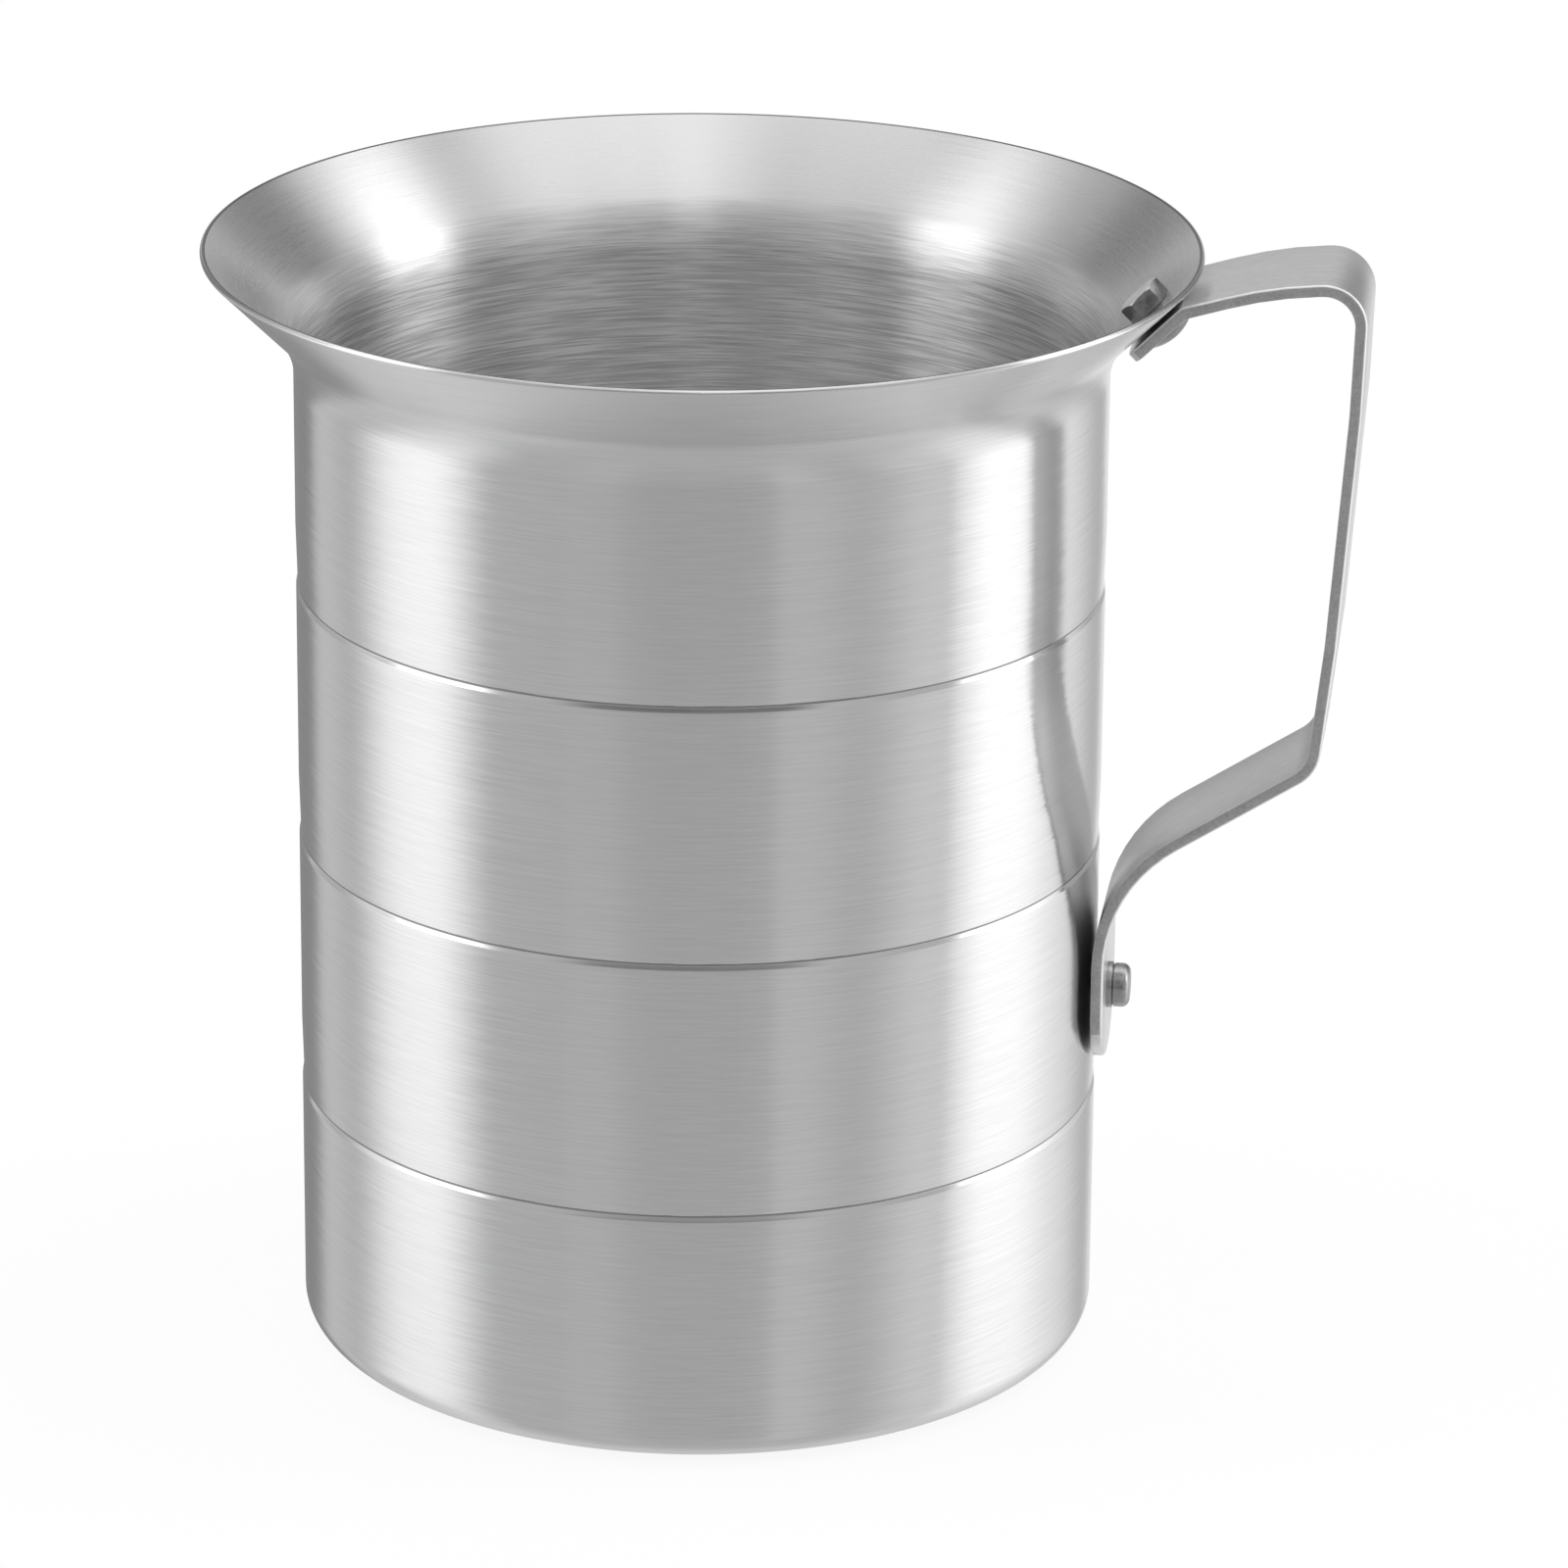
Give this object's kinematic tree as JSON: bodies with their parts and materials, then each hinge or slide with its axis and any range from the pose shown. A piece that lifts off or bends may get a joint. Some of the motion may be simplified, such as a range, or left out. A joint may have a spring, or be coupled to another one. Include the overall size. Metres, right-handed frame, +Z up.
{
  "type": "measuring jug",
  "caption": "Straight-sided spun metal measuring jug with a flared pouring lip, pressed graduation grooves and a bent strap handle bolted to the lip and the wall.",
  "frame": {"origin": "centre of the flat base, on the table", "axes": "+Z up along the vessel's axis, +X towards the handle, +Y across the handle"},
  "size_m": [0.2229, 0.1912, 0.2199],
  "materials": {
    "spun_aluminium": "satin, with fine brush lines around the axis",
    "strap_aluminium": "satin, brushed along the strap, with sheared edges",
    "bolt_steel": "plain turned steel",
    "nut_metal": "smooth satin",
    "seal_nylon": "plain, off-white"
  },
  "bodies": {
    "root": {"vessel": "spun_aluminium", "handle_strap": "strap_aluminium", "lip_bolt": "bolt_steel", "lip_nut": "nut_metal", "wall_bolt": "bolt_steel", "wall_seal": "seal_nylon", "wall_collar": "nut_metal", "wall_nut": "nut_metal"}
  },
  "joints": []
}
